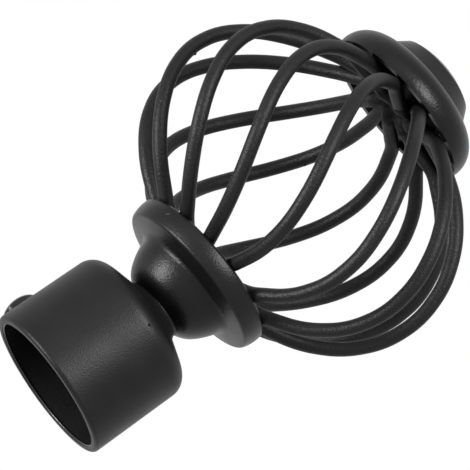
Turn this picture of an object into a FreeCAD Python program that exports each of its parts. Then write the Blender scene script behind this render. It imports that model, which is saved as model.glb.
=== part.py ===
import FreeCAD, Part
import math
import os

from FreeCAD import Placement, Rotation, Vector
import Sketcher

# Curtain pole finial: a blind socket for the pole's end, a round collar on its neck, a cage of
# thirteen bent wires that twists to the left, a second collar and a domed end cap.
# +X runs from the socket's mouth to the tip, +Z is up and +Y is towards the wall.
# The origin is the centre of the socket's mouth. All lengths are in millimetres, angles in degrees.

SIZES = [
    ("pole_diameter", 28.0, "pole that the socket takes"),
    ("pole_clearance", 0.3, "radial room between pole and bore"),
    ("socket_wall", 1.6, "socket wall at the mouth"),
    ("socket_draft", 0.25, "loss of outer radius along the socket"),
    ("rim_round", 0.8, "rounding of the mouth's outer edge"),
    ("bore_depth", 19.0, "depth of the blind bore"),
    ("shoulder_round", 3.7, "convex round of the socket's shoulder"),
    ("shoulder_length", 3.6, "length of that round"),
    ("shoulder_drop", 2.55, "fall of radius over that round"),
    ("slope_length", 1.4, "length of the steep cone under the shoulder"),
    ("slope_drop", 3.7, "fall of radius over the cone"),
    ("neck_round", 3.9, "concave fillet into the neck"),
    ("neck_radius", 6.3, "neck between socket and lower collar"),
    ("neck_length", 7.2, "from the bore's floor to the collar's seat"),
    ("lean_angle", 4.32, "lean of collars, cage and cap against the socket"),
    ("lean_toward", 19.0, "direction of the lean, from +Y to +Z"),
    ("lean_place", 0.78, "where the lean starts, beyond the cone under the shoulder"),
    ("facing_stock", 2.0, "stock left on the neck before it is faced"),
    ("fillet_lead", 0.2, "where the neck's fillet ends, in front of the seat"),
    ("seat_gap", 0.0, "gap between pieces screwed face to face"),
    ("stud_diameter", 6.0, "stud through neck, lower collar and lower hub"),
    ("stud_grip", 5.6, "length of that stud inside the neck"),
    ("cap_stud_diameter", 5.0, "stud through upper hub, upper collar and cap"),
    ("cap_stud_grip", 3.5, "length of that stud inside the cap"),
    ("hole_clearance", 0.05, "radial room of a stud, screw or wire in its hole"),
    ("hole_floor", 0.4, "room between a stud's or wire's end and its hole's floor"),
    ("drill_overrun", 1.0, "how far a drill starts or ends past the piece that it goes through"),
    ("screw_diameter", 4.0, "clamping screw in the socket wall"),
    ("screw_place", 6.2, "screw axis behind the mouth"),
    ("screw_turn", -14.0, "screw axis about the socket axis, from +Y to +Z"),
    ("screw_head_radius", 4.35, "screw's pan head"),
    ("screw_head_height", 2.7, "height of the head"),
    ("screw_head_edge", 1.5, "straight edge of the head under its round"),
    ("screw_key_radius", 1.45, "six-sided recess for the key, across corners / 2"),
    ("screw_key_depth", 1.3, "depth of that recess"),
    ("collar_foot_radius", 6.4, "lower collar where it meets the neck"),
    ("collar_bead_round", 5.95, "convex round at the foot of the collar's belly"),
    ("collar_bead_length", 2.2, "length of that round"),
    ("collar_bead_rise", 2.9, "rise of radius over it"),
    ("collar_belly_round", 16.0, "slow convex round of the belly"),
    ("collar_belly_length", 4.5, "length of that round"),
    ("collar_belly_rise", 2.15, "rise of radius over it"),
    ("collar_hollow_round", 1.6, "concave round between belly and flare"),
    ("collar_hollow_length", 1.09, "length of that round"),
    ("collar_hollow_rise", 1.17, "rise of radius over it"),
    ("collar_flare_length", 0.69, "length of the flare"),
    ("collar_ridge_round", 0.95, "round of the ridge in front of the rim band"),
    ("collar_ridge_length", 0.75, "length of that round"),
    ("collar_ridge_rise", 0.68, "rise of radius over that round"),
    ("collar_band_round", 7.0, "bulge of the rim band"),
    ("collar_band_length", 3.3, "length of the rim band"),
    ("collar_band_rise", 0.35, "rise of radius over the band"),
    ("collar_rim_radius", 16.85, "radius at the front of the rim band"),
    ("collar_back_round", 1.0, "round at the back of the band"),
    ("collar_back_length", 0.55, "length of that round"),
    ("collar_dish_depth", 1.8, "depth of the dish in the back face"),
    ("collar_dish_wall", 2.75, "from the band's back to the flat floor of the dish"),
    ("wire_diameter", 2.9, "round wire of the cage"),
    ("foot_offset", 1.8, "how far the wire feet pass beside the axis"),
    ("head_offset", 2.6, "how far the wire heads pass beside the axis"),
    ("foot_end_radius", 8.8, "inner end of a wire at the foot"),
    ("head_end_radius", 5.3, "inner end of a wire at the head"),
    ("short_end_radius", 8.8, "that end of the thirteenth wire, beside one on its own level"),
    ("wire_bend_radius", 11.5, "where the wire turns in towards its hub"),
    ("head_sink", 3.6, "how far the wire heads run on into the upper collar"),
    ("head_bend_share", 0.33, "share of that at the bend"),
    ("level_step", 2.7, "between the two levels on which neighbouring wire heads end"),
    ("hub_wall", 1.1, "hub outside the wire ends"),
    ("hub_margin", 1.8, "hub beyond the outermost wire axis, each side"),
    ("hub_edge", 0.4, "chamfer of the hubs"),
    ("cage_length", 48.8, "between the wire feet, along the axis"),
    ("cage_radius", 34.9, "largest radius of the wire axis"),
    ("cage_shift", 0.45, "how far the cage's middle lies beyond the middle of its feet and heads"),
    ("cage_reach", 1.9, "how far the cage's curve runs past its feet, each end"),
    ("cage_twist", 44.6, "left-hand twist of a wire from foot to head"),
    ("first_wire", 24.0, "place of the first wire at mid-cage, from +Y to +Z"),
    ("crown_under_radius", 17.2, "crisp lower edge of the upper collar"),
    ("crown_gap", 1.3, "from the bend of the wire heads to the upper collar's lower edge"),
    ("crown_lip", 1.45, "lower edge of the upper collar, round its deep dish"),
    ("crown_dish_taper", 3.0, "how much narrower that dish is at its floor"),
    ("crown_band_round", 5.2, "bulge of the upper collar's band"),
    ("crown_band_length", 4.8, "length of the band"),
    ("crown_band_radius", 16.2, "radius at the band's end"),
    ("crown_top_round", 5.0, "round over to the step"),
    ("crown_top_length", 1.8, "length of that round"),
    ("crown_step_radius", 12.6, "upper collar where the cap sits"),
    ("cap_radius", 12.0, "end cap at its seat"),
    ("cap_cone_length", 4.0, "length of the cap's cone"),
    ("cap_edge_radius", 9.1, "radius where the dome starts"),
    ("cap_dome_rise", 2.2, "rise of the dome"),
]

# The wires were set by hand, so each stands a few degrees off an even spacing.
WIRE_STRAY = (0.0, 1.0, -0.5, -2.1, -0.8, -0.4, -2.6, 5.7, 6.0, 5.9, 4.6, -1.4, 0.4)

doc = FreeCAD.newDocument("finial")
sheet = doc.addObject("Spreadsheet::Sheet", "Sizes")


class Dim:
    """A length or angle as its value and as the expression over the sheet that gives it."""

    def __init__(self, text, value):
        self.text = text
        self.value = value

    def join(self, sign, other):
        if not isinstance(other, Dim):
            other = Dim(repr(float(other)), float(other))
        value = {
            "+": self.value + other.value,
            "-": self.value - other.value,
            "*": self.value * other.value,
        }[sign]
        return Dim("(" + self.text + " " + sign + " " + other.text + ")", value)

    def __add__(self, other):
        return self.join("+", other)

    def __sub__(self, other):
        return self.join("-", other)

    def __mul__(self, other):
        return self.join("*", other)


size = {}
for row, (alias, value, meaning) in enumerate(SIZES, start=1):
    sheet.set("A%d" % row, meaning)
    sheet.set("B%d" % row, repr(value))
    sheet.setAlias("B%d" % row, alias)
    size[alias] = Dim("Sizes." + alias, value)
doc.recompute()

ZERO = Dim("0", 0.0)
X_AXIS = Vector(1, 0, 0)


def bind(thing, prop, dim, unit="mm"):
    thing.setExpression(prop, dim.text + " * 1 " + unit)


def origin_plane(body, role):
    for feature in body.Origin.OriginFeatures:
        if feature.Role == role:
            return feature


def arc_between(start, end, radius, sign):
    """Arc of a circle on the outer side of the chord for sign 1, on the axis side for sign -1."""
    chord = end.sub(start)
    half = chord.Length / 2
    side = Vector(chord.y, -chord.x, 0)
    side.normalize()
    centre = (start + end) * 0.5 + side * (sign * math.sqrt(radius * radius - half * half))
    first = math.atan2(start.y - centre.y, start.x - centre.x)
    last = math.atan2(end.y - centre.y, end.x - centre.x)
    if sign > 0:
        first, last = last, first
    return Part.ArcOfCircle(Part.Circle(centre, Vector(0, 0, 1), radius), first, last)


def turned(name, outline):
    """A body turned about its X axis. Each entry is a corner (place along X, radius) and how the
    outline goes on to the next corner: None for a straight, a Dim and a sign for an arc."""
    body = doc.addObject("PartDesign::Body", name)
    sketch = body.newObject("Sketcher::SketchObject", name + "_outline")
    sketch.AttachmentSupport = (origin_plane(body, "XZ_Plane"), [""])
    sketch.MapMode = "FlatFace"
    corners = [Vector(along.value, radius.value, 0) for along, radius, _ in outline]
    ends = []
    for index, (along, radius, onward) in enumerate(outline):
        start = corners[index]
        end = corners[(index + 1) % len(corners)]
        if onward is None:
            edge = sketch.addGeometry(Part.LineSegment(start, end), False)
            ends.append((edge, 1, 2))
            continue
        bend, sign = onward
        edge = sketch.addGeometry(arc_between(start, end, bend.value, sign), False)
        ends.append((edge, 2, 1) if sign > 0 else (edge, 1, 2))
    for index, (edge, first, last) in enumerate(ends):
        following, begin, _ = ends[(index + 1) % len(ends)]
        sketch.addConstraint(Sketcher.Constraint("Coincident", edge, last, following, begin))
    for index, (along, radius, onward) in enumerate(outline):
        edge, first, _ = ends[index]
        for kind, axis, dim in (("DistanceX", -2, along), ("DistanceY", -1, radius)):
            if abs(dim.value) < 1e-9:
                sketch.addConstraint(Sketcher.Constraint("PointOnObject", edge, first, axis))
                continue
            number = sketch.addConstraint(Sketcher.Constraint(kind, -1, 1, edge, first, dim.value))
            bind(sketch, "Constraints[%d]" % number, dim)
        if onward is not None:
            number = sketch.addConstraint(Sketcher.Constraint("Radius", edge, onward[0].value))
            bind(sketch, "Constraints[%d]" % number, onward[0])
    turn = body.newObject("PartDesign::Revolution", name + "_turn")
    turn.Profile = sketch
    turn.ReferenceAxis = (sketch, ["H_Axis"])
    turn.Angle = 360
    doc.recompute()
    return body


def rod(name, radius, start, length):
    """A round bar or drill along X, from start."""
    bar = doc.addObject("Part::Cylinder", name)
    bind(bar, "Radius", radius)
    bind(bar, "Height", length)
    bar.Placement = Placement(Vector(start.value, 0, 0), Rotation(Vector(0, 1, 0), 90))
    return bar


def moved(thing, place):
    """Puts a piece that was made along X into its place on the finial."""
    thing.Placement = place.multiply(thing.Placement)
    return thing


def cut(name, base, tools):
    """The base with every tool taken out of it."""
    tool = tools[0]
    if len(tools) > 1:
        tool = doc.addObject("Part::MultiFuse", name + "_tools")
        tool.Shapes = tools
    piece = doc.addObject("Part::Cut", name)
    piece.Base = base
    piece.Tool = tool
    return piece


# Driving places along the axis, each worked out from the sizes
bore_radius = size["pole_diameter"] * 0.5 + size["pole_clearance"]
outer_radius = bore_radius + size["socket_wall"]
far_radius = outer_radius - size["socket_draft"]
shoulder_radius = far_radius - size["shoulder_drop"]
slope_start = size["bore_depth"] + size["shoulder_length"]
slope_end = slope_start + size["slope_length"]
seat = size["bore_depth"] + size["neck_length"]
collar_seat = seat + size["seat_gap"]
hole_room = size["hole_clearance"]
overrun = size["drill_overrun"]

# Everything past the neck leans a little: its axis turns about a point inside the neck
lean_point = Vector((slope_end + size["lean_place"]).value, 0, 0)
toward = math.radians(size["lean_toward"].value)
lean_axis = Vector(0, -math.sin(toward), math.cos(toward))
lean = Placement(Vector(), Rotation(lean_axis, size["lean_angle"].value), lean_point)

# Lower collar: round belly, hollow, flare, ridge, bulged rim band and dished back
bead_end = collar_seat + size["collar_bead_length"]
bead_radius = size["collar_foot_radius"] + size["collar_bead_rise"]
belly_end = bead_end + size["collar_belly_length"]
belly_radius = bead_radius + size["collar_belly_rise"]
hollow_end = belly_end + size["collar_hollow_length"]
hollow_radius = belly_radius + size["collar_hollow_rise"]
ridge = hollow_end + size["collar_flare_length"]
band_start = ridge + size["collar_ridge_length"]
band_end = band_start + size["collar_band_length"]
band_radius = size["collar_rim_radius"] + size["collar_band_rise"]
back_radius = band_radius - size["collar_back_length"]
collar_back = band_end + size["collar_back_length"]
dish_floor = collar_back - size["collar_dish_depth"]
stud_hole = size["stud_diameter"] * 0.5 + hole_room
lower_collar = turned("lower_collar", [
    (collar_seat, stud_hole, None),
    (collar_seat, size["collar_foot_radius"], (size["collar_bead_round"], 1)),
    (bead_end, bead_radius, (size["collar_belly_round"], 1)),
    (belly_end, belly_radius, (size["collar_hollow_round"], -1)),
    (hollow_end, hollow_radius, None),
    (ridge, size["collar_rim_radius"] - size["collar_ridge_rise"], (size["collar_ridge_round"], 1)),
    (band_start, size["collar_rim_radius"], (size["collar_band_round"], 1)),
    (band_end, band_radius, (size["collar_back_round"], 1)),
    (collar_back, back_radius, None),
    (dish_floor, back_radius - size["collar_dish_wall"], None),
    (dish_floor, stud_hole, None),
])
moved(lower_collar, lean)

# Socket: turned cup with a blind bore, its neck faced square to the leaning axis
stock_end = seat + size["facing_stock"]
cup = turned("socket_cup", [
    (ZERO, bore_radius, None),
    (ZERO, outer_radius - size["rim_round"], (size["rim_round"], 1)),
    (size["rim_round"], outer_radius, None),
    (size["bore_depth"], far_radius, (size["shoulder_round"], 1)),
    (slope_start, shoulder_radius, None),
    (slope_end, shoulder_radius - size["slope_drop"], (size["neck_round"], -1)),
    (seat - size["fillet_lead"], size["neck_radius"], None),
    (stock_end, size["neck_radius"], None),
    (stock_end, ZERO, None),
    (size["bore_depth"], ZERO, None),
    (size["bore_depth"], bore_radius, None),
])
facing = moved(rod("neck_facing", size["neck_radius"] * 2, seat, size["neck_length"]), lean)
neck_grip = size["stud_grip"] + size["hole_floor"]
neck_drill = moved(rod("neck_drill", stud_hole, seat - neck_grip, neck_grip * 2), lean)
screw_way = Placement(Vector(size["screw_place"].value, 0, 0), Rotation(X_AXIS, size["screw_turn"].value))
screw_way = screw_way.multiply(Placement(Vector(), Rotation(Vector(0, 0, 1), 90)))
screw_hole = size["screw_diameter"] * 0.5 + hole_room
screw_drill = rod("screw_drill", screw_hole, bore_radius - size["socket_wall"], size["socket_wall"] * 3)
screw_drill = moved(screw_drill, screw_way)
pole_socket = cut("pole_socket", cup, [facing, neck_drill, screw_drill])

# Clamping screw, backed out so that its tip is flush with the bore
screw_tip = bore_radius + size["pole_clearance"] * 0.5
head_seat = outer_radius
head_top = head_seat + size["screw_head_height"]
dome_start = head_seat + size["screw_head_edge"]
screw_blank = turned("screw_blank", [
    (screw_tip, ZERO, None),
    (screw_tip, size["screw_diameter"] * 0.5, None),
    (head_seat, size["screw_diameter"] * 0.5, None),
    (head_seat, size["screw_head_radius"], None),
    (dome_start, size["screw_head_radius"], (size["screw_head_radius"] * 0.5, 1)),
    (head_top, size["screw_head_radius"] * 0.6, None),
    (head_top, ZERO, None),
])
key = doc.addObject("Part::Prism", "screw_key")
key.Polygon = 6
bind(key, "Circumradius", size["screw_key_radius"])
bind(key, "Height", size["screw_key_depth"] * 2)
key.Placement = Placement(
    Vector((head_top - size["screw_key_depth"]).value, 0, 0), Rotation(Vector(0, 1, 0), 90)
)
set_screw = moved(cut("set_screw", screw_blank, [key]), screw_way)

# Cage: bent wires between two hubs. Their heads run on into the upper collar, where neighbours end
# on two levels, and every wire end passes beside the axis instead of pointing at it.
wire_radius = size["wire_diameter"] * 0.5
foot = dish_floor + size["hub_margin"]
head = foot + size["cage_length"]
crown_low = head + size["crown_gap"]
crown_floor = head + size["head_sink"] + size["hub_margin"]
middle = (foot.value + head.value) / 2
half_length = size["cage_length"].value / 2
cage_radius = size["cage_radius"].value
start_turn = math.asin(size["wire_bend_radius"].value * 1.28 / cage_radius)
curve_steps = 8
step_turn = (math.pi - 2 * start_turn) / curve_steps
outside = 1 / math.cos(step_turn / 2)


def on_cage(along, radius, share):
    """A point of a wire's axis; share runs from -1 at the foot to 1 at the head."""
    twist = -math.radians(size["cage_twist"].value) / 2 * share
    offset = size["foot_offset"] if share < 0 else size["head_offset"]
    beside = math.asin(offset.value / radius) * share
    return Vector(along, radius * math.cos(twist + beside), radius * math.sin(twist + beside))


def wire_corners(level, end_radius):
    """Corners of the bent path: an end, a turn, the cage's oval, a turn and the other end."""
    bend = size["wire_bend_radius"].value
    rise = size["head_sink"].value - level * size["level_step"].value
    bend_rise = rise * size["head_bend_share"].value
    run = (bend - end_radius) / (bend - size["head_end_radius"].value)
    end_rise = bend_rise + (rise - bend_rise) * run
    corners = [on_cage(foot.value, size["foot_end_radius"].value, -1), on_cage(foot.value, bend, -1)]
    for step in range(curve_steps + 1):
        turn = start_turn + step_turn * step
        reach = (half_length + size["cage_reach"].value) * math.cos(turn)
        along = middle + size["cage_shift"].value - reach * outside
        share = max(-1.0, min(1.0, (along - middle) / half_length))
        corners.append(on_cage(along, cage_radius * math.sin(turn) * outside, share))
    corners.append(on_cage(head.value + bend_rise, bend, 1))
    corners.append(on_cage(head.value + end_rise, end_radius, 1))
    return corners


def bent_path(corners):
    """Straight runs joined by tangent arcs, each as large as its shorter run allows."""
    edges = []
    last = corners[0]
    for before, corner, after in zip(corners, corners[1:], corners[2:]):
        inward = corner - before
        outward = after - corner
        trim = 0.45 * min(inward.Length, outward.Length)
        inward.normalize()
        outward.normalize()
        bend = trim / math.tan(inward.getAngle(outward) / 2)
        to_centre = outward - inward
        to_centre.normalize()
        start = corner - inward * trim
        end = corner + outward * trim
        crest = corner + to_centre * (math.hypot(trim, bend) - bend)
        edges.append(Part.LineSegment(last, start).toShape())
        edges.append(Part.Arc(start, crest, end).toShape())
        last = end
    edges.append(Part.LineSegment(last, corners[-1]).toShape())
    return Part.Wire(edges)


def wire_kind(name, level, end_radius):
    """The path and the round section that the wires of one kind are swept from."""
    corners = wire_corners(level, end_radius)
    spine = doc.addObject("Part::Feature", name + "_route")
    spine.Shape = bent_path(corners)
    section = doc.addObject("Part::Circle", name + "_section")
    bind(section, "Radius", wire_radius)
    section.Placement = Placement(corners[0], Rotation(Vector(0, 0, 1), corners[1] - corners[0]))
    return spine, section, corners


deep_head = wire_kind("deep_head", 0, size["head_end_radius"].value)
shallow_head = wire_kind("shallow_head", 1, size["head_end_radius"].value)
short_head = wire_kind("short_head", 0, size["short_end_radius"].value)
kinds = [deep_head, shallow_head] * 6 + [short_head]
wires = []
turns = []
for index, stray in enumerate(WIRE_STRAY):
    spine, section, _ = kinds[index]
    wire = doc.addObject("Part::Sweep", "cage_wire_%02d" % (index + 1))
    wire.Sections = [section]
    wire.Spine = (spine, ["Edge%d" % (number + 1) for number in range(len(spine.Shape.Edges))])
    wire.Solid = True
    wire.Frenet = False
    around = size["first_wire"].value + index * 360.0 / len(WIRE_STRAY) + stray
    turns.append(Placement(Vector(), Rotation(X_AXIS, around)))
    wire.Placement = turns[-1]
    moved(wire, lean)
    wires.append(wire)

# Hubs: a plain disc at the foot, and at the head a flange with a boss for the lower level. Both are
# drilled for every wire end and along the axis for the studs.
wire_hole = wire_radius + hole_room
edge = size["hub_edge"]
bar_depth = size["hub_margin"] + size["hub_wall"]


def drilled(name, disc, rim, at_foot, bar_drill):
    drills = [bar_drill]
    for index, turn in enumerate(turns):
        corners = kinds[index][2]
        end, bend = (corners[0], corners[1]) if at_foot else (corners[-1], corners[-2])
        outward = bend - end
        outward.normalize()
        drill = rod(name + "_drill_%02d" % (index + 1), wire_hole, ZERO, rim)
        begin = end - outward * size["hole_clearance"].value
        drill.Placement = Placement(begin, Rotation(Vector(0, 0, 1), outward))
        moved(drill, turn)
        drills.append(drill)
    return moved(cut(name, disc, drills), lean)


foot_rim = size["foot_end_radius"] + size["hub_wall"]
foot_top = foot + size["hub_margin"]
lower_disc = turned("lower_hub_disc", [
    (dish_floor, ZERO, None),
    (dish_floor, foot_rim, None),
    (foot_top - edge, foot_rim, None),
    (foot_top, foot_rim - edge, None),
    (foot_top, ZERO, None),
])
lower_bar_drill = rod("lower_bar_drill", stud_hole, dish_floor - overrun, bar_depth + overrun)
lower_hub = drilled("lower_hub", lower_disc, foot_rim, True, lower_bar_drill)

flange_rim = size["short_end_radius"] + size["hub_wall"]
flange_low = crown_low - edge
boss_rim = size["head_end_radius"] + size["hub_wall"]
boss_low = crown_floor - size["hub_margin"] * 2 - size["level_step"]
upper_disc = turned("upper_hub_disc", [
    (boss_low, ZERO, None),
    (boss_low, boss_rim - edge, None),
    (boss_low + edge, boss_rim, None),
    (flange_low, boss_rim, None),
    (flange_low, flange_rim - edge, None),
    (flange_low + edge, flange_rim, None),
    (crown_floor, flange_rim, None),
    (crown_floor, ZERO, None),
])
cap_hole = size["cap_stud_diameter"] * 0.5 + hole_room
upper_bar_drill = rod("upper_bar_drill", cap_hole, crown_floor - bar_depth, bar_depth + overrun)
upper_hub = drilled("upper_hub", upper_disc, flange_rim, False, upper_bar_drill)

# Upper collar: crisp lower edge, bulged band, round over to the step, deep dish for the hub
dish_mouth = size["crown_under_radius"] - size["crown_lip"]
crown_band_end = crown_low + size["crown_band_length"]
crown_top = crown_band_end + size["crown_top_length"]
upper_collar = turned("upper_collar", [
    (crown_floor, cap_hole, None),
    (crown_floor, dish_mouth - size["crown_dish_taper"], None),
    (crown_low, dish_mouth, None),
    (crown_low, size["crown_under_radius"], (size["crown_band_round"], 1)),
    (crown_band_end, size["crown_band_radius"], (size["crown_top_round"], 1)),
    (crown_top, size["crown_step_radius"], None),
    (crown_top, cap_hole, None),
])
moved(upper_collar, lean)

# End cap: cone and dome, with a blind hole for its stud
cap_low = crown_top + size["seat_gap"]
cap_shoulder = cap_low + size["cap_cone_length"]
cap_tip = cap_shoulder + size["cap_dome_rise"]
edge_value = size["cap_edge_radius"].value
rise_value = size["cap_dome_rise"].value
dome_radius = Dim(
    "((Sizes.cap_edge_radius * Sizes.cap_edge_radius + Sizes.cap_dome_rise * Sizes.cap_dome_rise)"
    " / (2 * Sizes.cap_dome_rise))",
    (edge_value ** 2 + rise_value ** 2) / (2 * rise_value),
)
grip = size["cap_stud_grip"]
cap_blank = turned("cap_blank", [
    (cap_low, ZERO, None),
    (cap_low, size["cap_radius"], None),
    (cap_shoulder, size["cap_edge_radius"], (dome_radius, 1)),
    (cap_tip, ZERO, None),
])
cap_drill = rod("cap_drill", cap_hole, cap_low - overrun, grip + size["hole_floor"] + overrun)
end_cap = moved(cut("end_cap", cap_blank, [cap_drill]), lean)

# Studs: one holds socket, lower collar and lower hub together, the other upper hub, collar and cap
stud_start = seat - size["stud_grip"]
stud_length = dish_floor + bar_depth - size["hole_floor"] - stud_start
joining_stud = moved(rod("joining_stud", size["stud_diameter"] * 0.5, stud_start, stud_length), lean)
cap_stud_start = crown_floor - bar_depth + size["hole_floor"]
cap_stud_length = cap_low + grip - cap_stud_start
cap_stud = moved(rod("cap_stud", size["cap_stud_diameter"] * 0.5, cap_stud_start, cap_stud_length), lean)

doc.recompute()

# Every object and every piece is proved before anything is written
pieces = [pole_socket, set_screw, joining_stud, lower_collar, lower_hub]
pieces += wires
pieces += [upper_hub, upper_collar, end_cap, cap_stud]
for thing in doc.Objects:
    if "Invalid" in thing.State or "Error" in thing.State:
        raise RuntimeError(thing.Name + " failed: " + str(thing.State))
os.makedirs("parts", exist_ok=True)
for piece in pieces:
    shape = piece.Shape
    if shape.isNull() or not shape.isValid() or len(shape.Solids) != 1:
        raise RuntimeError(piece.Label + " is not one valid solid")
for piece in pieces:
    piece.Shape.exportStep("parts/" + piece.Label + ".step")
    print(piece.Label, round(piece.Shape.Volume, 2), "mm3")
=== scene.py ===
import math
import bpy
from mathutils import Euler, Matrix, Vector, noise


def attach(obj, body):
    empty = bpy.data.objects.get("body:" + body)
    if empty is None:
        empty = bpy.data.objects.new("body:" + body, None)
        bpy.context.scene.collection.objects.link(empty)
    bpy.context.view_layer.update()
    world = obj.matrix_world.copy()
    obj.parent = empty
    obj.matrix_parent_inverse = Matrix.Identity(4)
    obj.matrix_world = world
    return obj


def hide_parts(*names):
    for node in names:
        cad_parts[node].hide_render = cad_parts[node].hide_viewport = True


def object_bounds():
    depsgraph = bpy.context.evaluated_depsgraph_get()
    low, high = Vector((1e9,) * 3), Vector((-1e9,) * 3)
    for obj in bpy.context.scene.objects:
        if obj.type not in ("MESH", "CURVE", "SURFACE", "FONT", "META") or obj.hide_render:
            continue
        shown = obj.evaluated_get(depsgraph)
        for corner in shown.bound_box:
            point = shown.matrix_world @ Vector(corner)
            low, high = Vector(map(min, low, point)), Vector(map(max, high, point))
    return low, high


# A black curtain pole finial lies on its side and is seen from above its mouth, on plain white.
# +X runs from the socket's mouth to the tip and +Z is up. Sizes are in millimetres, turned into
# Blender's metres where a piece is placed.

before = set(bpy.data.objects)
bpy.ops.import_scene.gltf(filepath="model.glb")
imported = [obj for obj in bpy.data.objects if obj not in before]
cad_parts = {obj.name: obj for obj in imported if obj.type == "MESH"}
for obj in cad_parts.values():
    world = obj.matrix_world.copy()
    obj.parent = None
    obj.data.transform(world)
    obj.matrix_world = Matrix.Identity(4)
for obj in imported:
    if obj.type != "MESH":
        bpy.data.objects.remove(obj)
cad_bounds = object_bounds()


# Pole socket: a turned steel cup, sprayed with satin black polyester powder and baked. The powder
# leaves a pebbled skin that breaks the highlights up, a slow swell under it, and duller patches.
# The real pebbles are finer than a pixel, so they are drawn as coarse as they need to show.
MM = 0.001
SWELL_MM = 2.4
SWELL_DEPTH_MM = 0.06
PATCH_MM = 8
SMOOTHER = 0.04
ROUGHER = 0.05


def linear(hex_colour):
    """An sRGB colour as the linear one that a shader takes."""
    channels = [int(hex_colour[i:i + 2], 16) / 255 for i in (0, 2, 4)]
    return [c / 12.92 if c <= 0.04045 else ((c + 0.055) / 1.055) ** 2.4 for c in channels] + [1.0]


def add(tree, kind, settings=None, **inputs):
    """Adds a node with its settings; an input named i0 is the first one, and so on."""
    node = tree.nodes.new("ShaderNode" + kind)
    for name, value in (settings or {}).items():
        setattr(node, name, value)
    for name, value in inputs.items():
        place = int(name[1:]) if name[0] == "i" and name[1:].isdigit() else name.replace("_", " ")
        socket = node.inputs[place]
        if isinstance(value, bpy.types.NodeSocket):
            tree.links.new(value, socket)
        else:
            socket.default_value = value
    return node


def coat(name, colour, worn, rough, gloss, pebble_mm, depth_mm, metal=0.0):
    """A coat: its colour and a duller one, roughness, reflection, pebbled skin, and share of metal."""
    made = bpy.data.materials.new(name)
    made.use_nodes = True
    tree = made.node_tree
    tree.nodes.clear()
    where = add(tree, "TexCoord").outputs["Object"]
    pebble = add(tree, "TexNoise", {}, Vector=where, Scale=1 / (pebble_mm * MM), Detail=1.0, Roughness=0.5)
    swell = add(tree, "TexNoise", {}, Vector=where, Scale=1 / (SWELL_MM * MM), Detail=2.0)
    patches = add(tree, "TexNoise", {}, Vector=where, Scale=1 / (PATCH_MM * MM), Detail=3.0).outputs["Fac"]
    skin = add(tree, "Bump", {}, Strength=1.0, Distance=depth_mm * MM, Height=pebble.outputs["Fac"])
    uneven = add(tree, "Bump", {}, Strength=0.5, Distance=SWELL_DEPTH_MM * MM,
                 Height=swell.outputs["Fac"], Normal=skin.outputs["Normal"])
    rough_now = add(tree, "MapRange", {}, Value=patches, From_Min=0.3, From_Max=0.7,
                    To_Min=rough - SMOOTHER, To_Max=rough + ROUGHER)
    duller = add(tree, "MapRange", {}, Value=patches, From_Min=0.45, From_Max=0.75, To_Min=0.0, To_Max=1.0)
    tint = add(tree, "MixRGB", {}, Fac=duller.outputs["Result"], Color1=linear(colour), Color2=linear(worn))
    shader = add(tree, "BsdfPrincipled", {}, Base_Color=tint.outputs["Color"],
                 Roughness=rough_now.outputs["Result"], Normal=uneven.outputs["Normal"])
    shader.inputs["Specular IOR Level"].default_value = gloss
    shader.inputs["Metallic"].default_value = metal
    tree.links.new(shader.outputs[0], add(tree, "OutputMaterial").inputs["Surface"])
    return made


def dress(node_name, material):
    """Gives a solid of the frame its material."""
    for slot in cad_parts[node_name].material_slots:
        slot.material = material


socket_powder = coat("powder_coated_cup", "100F10", "141313",
                     rough=0.44, gloss=0.18, pebble_mm=0.38, depth_mm=0.040)
dress("pole_socket", socket_powder)

# Set screw: a small pan-headed steel screw, screwed through the cup's wall to clamp the pole. Its
# gloss black lacquer has levelled out, so it mirrors a lamp as a small bright spot.
gloss_lacquer = coat("gloss_lacquered_steel", "0A0A0B", "0C0C0C",
                     rough=0.12, gloss=0.36, pebble_mm=0.5, depth_mm=0.006)
dress("set_screw", gloss_lacquer)

# Studs: turned steel in bright zinc plate, hidden in the finished finial, where they pull the
# pieces together. The plate gives a cool pale grey with soft metal highlights.
zinc_plate = coat("zinc_plated_steel", "B4B4AE", "A2A29C",
                  rough=0.32, gloss=0.5, pebble_mm=0.3, depth_mm=0.005, metal=1.0)
dress("joining_stud", zinc_plate)
dress("cap_stud", zinc_plate)

# Collars and end cap: turned steel under the same satin black powder, laid on a little thicker
# than on the cup and flowed out further, so their highlights are tighter and more broken.
collar_powder = coat("powder_coated_turning", "100F10", "141313",
                     rough=0.33, gloss=0.175, pebble_mm=0.38, depth_mm=0.050)
dress("lower_collar", collar_powder)
dress("upper_collar", collar_powder)
dress("end_cap", collar_powder)

# Cage: thirteen bent steel rods and the discs that hold their ends, sprayed after welding. The
# powder is thin on them and follows the rods' scale, so their highlights are dull and speckled.
wire_powder = coat("powder_coated_rod", "0E0D0E", "131211",
                   rough=0.47, gloss=0.20, pebble_mm=0.42, depth_mm=0.110)
for node_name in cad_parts:
    if "wire" in node_name or "hub" in node_name:
        dress(node_name, wire_powder)

# Foot welds: a bead of weld round each rod where it leaves the disc in the lower collar's dish,
# under the same powder. Everything past the neck was screwed on askew, so it stands on a leaning
# axis; on that axis the rods stand round in a circle, each a few degrees off its even place.
LEAN_PLACE = Vector((24.78, 0, 0)) * MM
LEAN_TOWARD = math.radians(19)
LEAN_AXIS = Vector((0, -math.sin(LEAN_TOWARD), math.cos(LEAN_TOWARD)))
LEAN = Matrix.Rotation(math.radians(4.32), 3, LEAN_AXIS)

# Where the rods stand round that axis, in degrees: the first, the twist to each end, and each stray
FIRST_WIRE = 24.0
HALF_TWIST = 22.3
WIRE_STRAY = (0.0, 1.0, -0.5, -2.1, -0.8, -0.4, -2.6, 5.7, 6.0, 5.9, 4.6, -1.4, 0.4)

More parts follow.
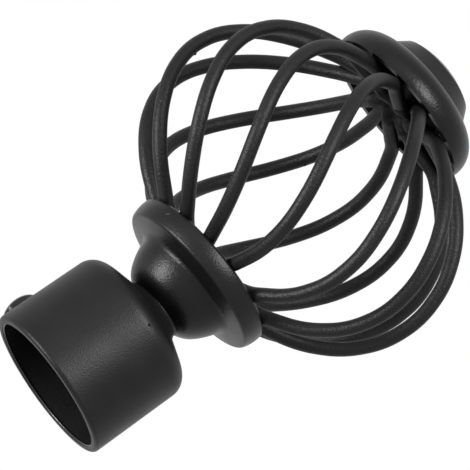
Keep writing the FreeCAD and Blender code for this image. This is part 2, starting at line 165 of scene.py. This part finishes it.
# A rod's radius, how far its two ends pass beside the axis, the feet's level, and the bead of weld
WIRE = 1.45
FOOT_ASIDE = 1.8
HEAD_ASIDE = 2.6
FOOT = 39.28
BEAD_SINK = 0.1
BEAD_START = 9.1
BEAD_LENGTH = 2.0
BEAD_BULGE = 0.45
BEAD_STEPS = 8


def past_neck(along, radius, angle):
    """A point on the leaning axis' side of the neck, from its place along and round that axis."""
    point = Vector((along, radius * math.cos(angle), radius * math.sin(angle))) * MM
    return LEAN_PLACE + LEAN @ (point - LEAN_PLACE)


def wire_angle(index, radius, at_head):
    """Where a rod's straight inner end passes, at a radius: it runs by the axis, not through it."""
    around = FIRST_WIRE + index * 360 / len(WIRE_STRAY) + WIRE_STRAY[index]
    if at_head:
        return math.radians(around - HALF_TWIST) + math.asin(HEAD_ASIDE / radius)
    return math.radians(around + HALF_TWIST) - math.asin(FOOT_ASIDE / radius)


def tube(verts, faces, centres, radii, sides=18):
    """A closed round rod along the centres, with a radius at each."""
    side = (centres[1] - centres[0]).orthogonal().normalized()
    start = len(verts)
    for index, (centre, radius) in enumerate(zip(centres, radii)):
        ahead = centres[min(index + 1, len(centres) - 1)] - centres[max(index - 1, 0)]
        ahead.normalize()
        side = (side - ahead * side.dot(ahead)).normalized()
        other = ahead.cross(side)
        for turn in range(sides):
            angle = turn * 2 * math.pi / sides
            verts.append(centre + (side * math.cos(angle) + other * math.sin(angle)) * radius)
    for ring in range(len(centres) - 1):
        for turn in range(sides):
            low = start + ring * sides
            after = (turn + 1) % sides
            faces.append((low + turn, low + after, low + sides + after, low + sides + turn))
    faces.append(tuple(start + turn for turn in reversed(range(sides))))
    last = start + (len(centres) - 1) * sides
    faces.append(tuple(last + turn for turn in range(sides)))


def make_piece(name, verts, faces, material):
    """A piece of the scene's own, which stays with the finial's body."""
    mesh = bpy.data.meshes.new(name)
    mesh.from_pydata(verts, [], faces)
    mesh.materials.append(material)
    piece = bpy.data.objects.new(name, mesh)
    bpy.context.scene.collection.objects.link(piece)
    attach(piece, "root")
    return piece


def fused(piece, voxel, smooth, lumps, lump_size):
    """Melts the parts of a piece into one mass with fillets, then makes it a little lumpy."""
    melt = piece.modifiers.new("melt", "REMESH")
    melt.mode = "VOXEL"
    melt.voxel_size = voxel * MM
    relax = piece.modifiers.new("relax", "SMOOTH")
    relax.factor = 0.5
    relax.iterations = smooth
    graph = bpy.context.evaluated_depsgraph_get()
    mesh = bpy.data.meshes.new_from_object(piece.evaluated_get(graph))
    piece.modifiers.clear()
    material = piece.data.materials[0]
    piece.data = mesh
    mesh.materials.clear()
    mesh.materials.append(material)
    mesh.shade_smooth()
    for vertex in mesh.vertices:
        bulge = noise.noise(vertex.co / (lump_size * MM))
        vertex.co += vertex.normal * bulge * lumps * MM


verts, faces = [], []
for index in range(len(WIRE_STRAY)):
    centres, radii = [], []
    for step in range(BEAD_STEPS + 1):
        share = step / BEAD_STEPS
        radius = BEAD_START + BEAD_LENGTH * share
        centres.append(past_neck(FOOT - BEAD_SINK, radius, wire_angle(index, radius, False)))
        radii.append((WIRE + BEAD_BULGE * math.sin(share * math.pi)) * MM)
    tube(verts, faces, centres, radii)
foot_welds = make_piece("foot_welds", verts, faces, wire_powder)
fused(foot_welds, voxel=0.3, smooth=3, lumps=0.12, lump_size=1.1)

# Head weld: the rods' heads run together in the upper collar's dish and are welded into one knot,
# each bent in beside the axis, on two levels, the last one short. It stands for the drilled disc of
# the solid model. Little powder reaches it, so it is rougher and duller than the rods, and its colour
# is a little darker than theirs, as painted shade for the dish it sits in.
weld_powder_painted_shade = coat("powder_coated_weld_painted_shade", "0C0B0C", "11100F",
                   rough=0.58, gloss=0.10, pebble_mm=0.38, depth_mm=0.055)

# The heads' place along the axis, the radius of their last bend, and how far they rise from there
HEAD = 88.08
LAST_BEND = 5.3
HIGH_LEVEL = 3.6
LOW_LEVEL = 0.9
LEVEL_LEFT = 0.67
LEVEL_REACH = 6.2

# From which radius to which a head runs, how it curls up by the axis, rounds off and swells
HEAD_SPAN = (6.9, 2.75)
SHORT_WIRE = len(WIRE_STRAY) - 1
SHORT_SPAN = (9.8, 6.2)
CURL = 0.30
CURL_POWER = 1.4
END_ROUND = 0.2
LEAST_END = 0.04
HEAD_SWELL = 1.01
HEAD_BULGE = 0.12
HEAD_STEPS = 12

# The weld metal between the heads and the dish, as places along the axis, each with its radius
KNOT_CORE = ((93.4, 9.4), (92.2, 8.6), (91.2, 6.6), (90.3, 4.4), (89.7, 2.6), (89.3, 1.2), (89.2, 0.2))
verts, faces = [], []
for index in range(len(WIRE_STRAY)):
    rise = HIGH_LEVEL if index % 2 == 0 else LOW_LEVEL
    slope = rise * LEVEL_LEFT / LEVEL_REACH
    outer, inner = SHORT_SPAN if index == SHORT_WIRE else HEAD_SPAN
    centres, radii = [], []
    for step in range(HEAD_STEPS + 1):
        share = step / HEAD_STEPS
        radius = outer + (inner - outer) * share
        curl = CURL * max(0.0, LAST_BEND - radius) ** CURL_POWER
        along = HEAD + rise + (LAST_BEND - radius) * slope + curl
        centres.append(past_neck(along, radius, wire_angle(index, radius, True)))
        past = max(0.0, (share - (1 - END_ROUND)) / END_ROUND)
        end = math.sqrt(max(LEAST_END, 1 - past ** 2))
        radii.append((WIRE * HEAD_SWELL + HEAD_BULGE * math.sin(share * math.pi)) * end * MM)
    tube(verts, faces, centres, radii)
core_centres = [past_neck(along, 0, 0) for along, _ in KNOT_CORE]
tube(verts, faces, core_centres, [radius * MM for _, radius in KNOT_CORE], sides=36)
head_weld = make_piece("head_weld", verts, faces, weld_powder_painted_shade)
fused(head_weld, voxel=0.3, smooth=5, lumps=0.16, lump_size=1.3)
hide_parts("upper_hub")

# Lip: the powder draws back from the sharp inner edge of the cup's mouth and gathers beside it in a
# fine smooth bead, which catches the light as a thin crescent.
lip_powder = coat("gathered_powder", "100F10", "141313",
                  rough=0.30, gloss=0.50, pebble_mm=0.38, depth_mm=0.030)
LIP_RADIUS = 14.36
LIP_PLACE = 0.42
LIP_BEAD = 0.30
LIP_AROUND = 120
LIP_ACROSS = 14
verts, faces = [], []
for step in range(LIP_AROUND):
    angle = step * 2 * math.pi / LIP_AROUND
    for turn in range(LIP_ACROSS):
        roll = turn * 2 * math.pi / LIP_ACROSS
        reach = LIP_RADIUS + LIP_BEAD * math.cos(roll)
        along = LIP_PLACE + LIP_BEAD * math.sin(roll)
        verts.append(Vector((along, reach * math.cos(angle), reach * math.sin(angle))) * MM)
        here = step * LIP_ACROSS
        ahead = (step + 1) % LIP_AROUND * LIP_ACROSS
        after = (turn + 1) % LIP_ACROSS
        faces.append((here + turn, ahead + turn, ahead + after, here + after))
mouth_lip = make_piece("mouth_lip", verts, faces, lip_powder)
mouth_lip.data.shade_smooth()

# Camera: it looks down on the cage's side from above the mouth, with no roll. A long lens, from
# about 0.9 m away, shows the mouth and the collars as wide as in the photograph.
camera_data = bpy.data.cameras.new("camera")
camera_data.lens = 360.18
camera_data.sensor_width = 36
camera_data.clip_end = 10
camera = bpy.data.objects.new("camera", camera_data)
camera.location = Vector((-181.21, -294.63, 837.68)) * MM
camera.rotation_euler = Euler((math.radians(24.16), 0, math.radians(-37.61)))
bpy.context.scene.collection.objects.link(camera)
bpy.context.scene.camera = camera

# The camera's own right, up and back directions
RIGHT = Vector((0.7921, -0.6103, 0.0))
UPWARD = Vector((0.5569, 0.7227, 0.4093))
TOWARDS = Vector((-0.2498, -0.3242, 0.9124))

# Marks in the coat: two paint bumps on rods and a small crater on the cup's shoulder, where the
# powder lies thick and matt; their darker black is painted shade, standing in for the crater's dip,
# which is not cut into the surface. A scratch on the lower collar's flange is worn and shows lighter,
# and a lighter grey fleck on a rod is a painted highlight. Each is laid on the surface where its
# pixel of the photograph shows.
PHOTO_SIDE = 470
PER_PIXEL = camera_data.sensor_width / camera_data.lens / PHOTO_SIDE
MARK_RINGS = 7
MARK_SIDES = 20
CRATER_WALL = 0.5
WALL_WIDTH = 0.22
BUMP_SINK = 0.10
FLAT_SINK = 0.03
MARK_LIFT = 0.012
EDGE_STRAY = 0.18
EDGE_WAVES = 1.7


def mark(verts, faces, pixel, length, width, turn, height, crater=False):
    """Lays a low lump, or a ring round a crater, on the surface seen at a pixel of the photo."""
    bpy.context.view_layer.update()
    graph = bpy.context.evaluated_depsgraph_get()
    across, down = pixel[0] - PHOTO_SIDE / 2, pixel[1] - PHOTO_SIDE / 2
    sight = (RIGHT * across - UPWARD * down) * PER_PIXEL - TOWARDS
    found, spot, normal, *_ = bpy.context.scene.ray_cast(graph, camera.location, sight.normalized())
    if not found:
        return
    side = (RIGHT - normal * RIGHT.dot(normal)).normalized()
    other = normal.cross(side)
    start = len(verts)
    for ring in range(MARK_RINGS + 1):
        share = ring / MARK_RINGS
        wall = math.exp(-((share - CRATER_WALL) / WALL_WIDTH) ** 2)
        rise = height * wall if crater else height * (1 - share ** 2)
        sink = (BUMP_SINK if height else FLAT_SINK) * share ** 2
        for step in range(MARK_SIDES):
            angle = step * 2 * math.pi / MARK_SIDES
            place = Vector((math.cos(angle), math.sin(angle), pixel[0])) * EDGE_WAVES
            stray = 1 + EDGE_STRAY * noise.noise(place)
            far, wide = length * share * math.cos(angle) * stray, width * share * math.sin(angle) * stray
            aside = side * (far * math.cos(turn) - wide * math.sin(turn))
            ahead = other * (far * math.sin(turn) + wide * math.cos(turn))
            verts.append(spot + (aside + ahead + normal * (rise + MARK_LIFT - sink)) * MM)
    for ring in range(MARK_RINGS):
        for step in range(MARK_SIDES):
            after = (step + 1) % MARK_SIDES
            low = start + ring * MARK_SIDES
            high = low + MARK_SIDES
            faces.append((low + step, low + after, high + after, high + step))


verts, faces = [], []
mark(verts, faces, pixel=(195, 54), length=0.45, width=0.32, turn=0.4, height=0.22)
mark(verts, faces, pixel=(305, 165), length=0.50, width=0.30, turn=1.2, height=0.24)
mark(verts, faces, pixel=(149, 325), length=0.42, width=0.38, turn=0.0, height=0.10, crater=True)
# A darker black than the coat round it: painted shade for the crater's dip.
thick_powder_painted_shade = coat("thick_powder_painted_shade", "070707", "090909",
                    rough=0.50, gloss=0.08, pebble_mm=0.3, depth_mm=0.01)
coat_bumps = make_piece("coat_bumps", verts, faces, thick_powder_painted_shade)
coat_bumps.data.shade_smooth()
verts, faces = [], []
mark(verts, faces, pixel=(167, 214), length=0.62, width=0.09, turn=-0.25, height=0.0)
mark(verts, faces, pixel=(161, 101), length=0.20, width=0.18, turn=0.0, height=0.12)
# Lighter grey: worn powder on the scratch, and a painted highlight on the fleck.
worn_powder_and_glint = coat("worn_powder_and_glint", "4C4A48", "565452",
                   rough=0.45, gloss=0.5, pebble_mm=0.3, depth_mm=0.01)
scratch_and_glint_marks = make_piece("scratch_and_glint_marks", verts, faces, worn_powder_and_glint)
scratch_and_glint_marks.data.shade_smooth()

# Room: a white tent all round. To the camera, in reflections and through clear pieces it is plain
# white, while the light that it throws on the object is only a weak even glow.
SEEN_WHITE = 1.0
ROOM_GLOW = 0.08


def seen_or_mirrored(tree):
    """1 where a ray from the camera, a reflection or clear glass meets the surface, else 0."""
    path = add(tree, "LightPath")
    mirrored = add(tree, "Math", {"operation": "MAXIMUM"}, i0=path.outputs["Is Camera Ray"],
                   i1=path.outputs["Is Glossy Ray"])
    clear = add(tree, "Math", {"operation": "MAXIMUM"}, i0=mirrored.outputs[0],
                i1=path.outputs["Is Transmission Ray"])
    return clear.outputs[0]


world = bpy.data.worlds.new("room")
world.use_nodes = True
room = world.node_tree
room.nodes.clear()
seen = add(room, "Background", {}, Color=(1, 1, 1, 1), Strength=SEEN_WHITE)
glow = add(room, "Background", {}, Color=(1, 1, 1, 1), Strength=ROOM_GLOW)
mix = add(room, "MixShader", {}, i0=seen_or_mirrored(room), i1=glow.outputs[0], i2=seen.outputs[0])
room.links.new(mix.outputs[0], add(room, "OutputWorld").inputs["Surface"])
bpy.context.scene.world = world

# Floor: a wide sheet of matt white paper just under the object. It is seen as plain white, and
# throws only part of the lamps' light back up, so that the object's underside stays dark.
FLOOR_SHADE = 0.25
FLOOR_GAP = 0.2
FLOOR_HALF = 3
floor_white = bpy.data.materials.new("floor_white")
floor_white.use_nodes = True
tree = floor_white.node_tree
tree.nodes.clear()
paper = add(tree, "BsdfDiffuse", {}, Color=(FLOOR_SHADE, FLOOR_SHADE, FLOOR_SHADE, 1))
lit = add(tree, "Emission", {}, Color=(1, 1, 1, 1), Strength=SEEN_WHITE)
mix = add(tree, "MixShader", {}, i0=seen_or_mirrored(tree), i1=paper.outputs[0], i2=lit.outputs[0])
tree.links.new(mix.outputs[0], add(tree, "OutputMaterial").inputs["Surface"])
low = cad_bounds[0][2] - FLOOR_GAP * MM
corners = [(-FLOOR_HALF, -FLOOR_HALF, low), (FLOOR_HALF, -FLOOR_HALF, low),
           (FLOOR_HALF, FLOOR_HALF, low), (-FLOOR_HALF, FLOOR_HALF, low)]
floor_mesh = bpy.data.meshes.new("floor")
floor_mesh.from_pydata(corners, [], [(0, 1, 2, 3)])
floor_mesh.materials.append(floor_white)
floor = bpy.data.objects.new("floor", floor_mesh)
bpy.context.scene.collection.objects.link(floor)

# Lamps: three soft lamps, right, left and overhead as the camera sees them, of which the left one
# makes the round highlight on the lower collar's belly. Each place is in shares of the camera's own
# directions, distance and size are in metres, and power is in watts.
AIM = Vector((52, 0, 0)) * MM


def lamp(name, across, above, before, distance, width, height, power):
    """A softbox in the given direction from the object, as the camera sees it."""
    light = bpy.data.lights.new(name, "AREA")
    light.shape = "ELLIPSE"
    light.size = width
    light.size_y = height
    light.energy = power
    thing = bpy.data.objects.new(name, light)
    thing.location = AIM + (RIGHT * across + UPWARD * above + TOWARDS * before).normalized() * distance
    thing.rotation_euler = (thing.location - AIM).to_track_quat("Z", "Y").to_euler()
    bpy.context.scene.collection.objects.link(thing)


lamp("softbox_right", across=0.55, above=0.30, before=0.77, distance=0.8, width=0.40, height=0.40, power=8.4)
lamp("softbox_left", across=-0.82, above=0.20, before=0.50, distance=0.8, width=0.34, height=0.34, power=9.4)
lamp("overhead", across=-0.10, above=0.72, before=0.60, distance=0.9, width=0.90, height=0.50, power=1.0)

# View: the Standard view, so that a colour shows about as it is written
scene = bpy.context.scene
scene.view_settings.view_transform = "Standard"
